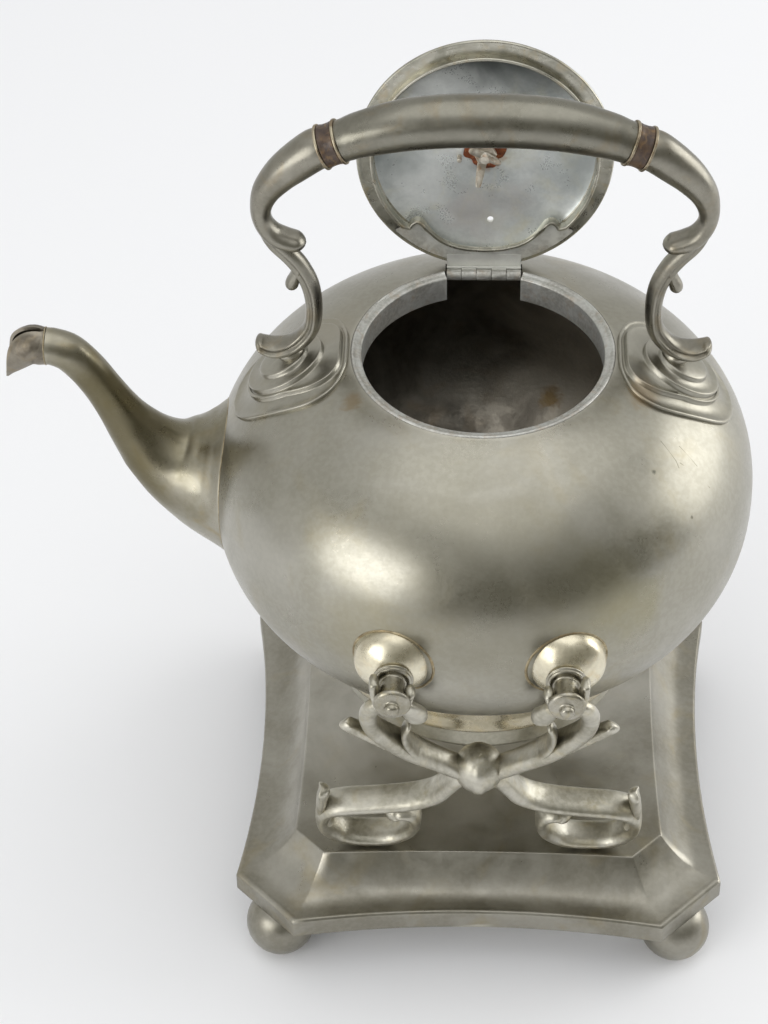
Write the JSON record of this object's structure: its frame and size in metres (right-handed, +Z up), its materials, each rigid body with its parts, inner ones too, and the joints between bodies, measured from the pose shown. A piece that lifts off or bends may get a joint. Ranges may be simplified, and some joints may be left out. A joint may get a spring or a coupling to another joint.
{
  "type": "spirit kettle on stand",
  "caption": "Round-bellied metal kettle with curved spout, hinged lid and arched handle, resting by side pins in scrolled cradles on a square footed stand",
  "frame": {"origin": "on the ground plane under the ball feet, on the upright axis of the kettle's belly", "axes": "+Z up; -X towards the spout; +Y towards the lid hinge, along the tilt pins"},
  "size_m": [0.2589, 0.2268, 0.3329],
  "materials": {
    "belly_pewter": "satin tin alloy with an olive tarnish, soft highlights and fine scratches",
    "lip_pewter": "dark worn solder and tin",
    "handle_pewter": "satin tin alloy, darker in the grooves",
    "insulator_brown": "dark brown insulating ring, slightly shiny",
    "bright_metal": "plain metal, lightly worn",
    "golden_pewter": "satin tin alloy with a golden tint",
    "pan_metal": "pale satin metal",
    "rim_metal": "cool pale satin metal",
    "lid_metal": "cool blue grey, nearly a mirror, mottled",
    "knob_pewter": "satin tin alloy",
    "fitting_metal": "worn, with rust at the washer",
    "pin_pewter": "turned tin alloy",
    "stand_pewter": "cast tin alloy with a grainy skin",
    "base_pewter": "satin tin alloy, darker in the corners",
    "screw_metal": "plain steel"
  },
  "bodies": {
    "stand": {"base": "base_pewter", "ball_feet": "base_pewter", "frame_front": "stand_pewter", "frame_rear": "stand_pewter", "frame_screws": "screw_metal"},
    "tilt_pins": {"pins_left": "pin_pewter"},
    "kettle": {"kettle_body": "belly_pewter", "bottom_pan": "pan_metal", "foot_ring": "golden_pewter", "rim_collar": "rim_metal", "spout": "belly_pewter", "spout_lip": "lip_pewter", "handle_plate_left": "belly_pewter", "handle_plate_right": "belly_pewter", "handle_arm_left": "handle_pewter", "handle_arm_right": "handle_pewter", "handle_grip": "handle_pewter", "insulator_rings": "insulator_brown", "handle_ferrules": "bright_metal", "handle_spigots": "bright_metal", "pin_domes": "golden_pewter", "pins_right": "pin_pewter", "hinge_leaf": "bright_metal", "hinge_pin": "bright_metal"},
    "lid": {"lid": "lid_metal", "lid_plug_ring": "lid_metal", "lid_strap": "lid_metal", "lid_knob": "knob_pewter", "knob_stud": "fitting_metal", "knob_washer": "fitting_metal", "knob_nut": "fitting_metal", "knob_peg": "fitting_metal"}
  },
  "joints": [
    {"name": "lift", "type": "slide", "parent": "stand", "child": "tilt_pins", "axis": [0, 0, 1], "range_m": [0, 0.06]},
    {"name": "tilt", "type": "hinge", "parent": "tilt_pins", "child": "kettle", "pos_m": [-0.0285, 0, 0.17062], "axis": [0, -1, 0], "range_deg": [0, 50]},
    {"name": "lid_hinge", "type": "hinge", "parent": "kettle", "child": "lid", "pos_m": [0, 0.0452, 0.22639], "axis": [1, 0, 0], "range_deg": [0, 96]}
  ]
}
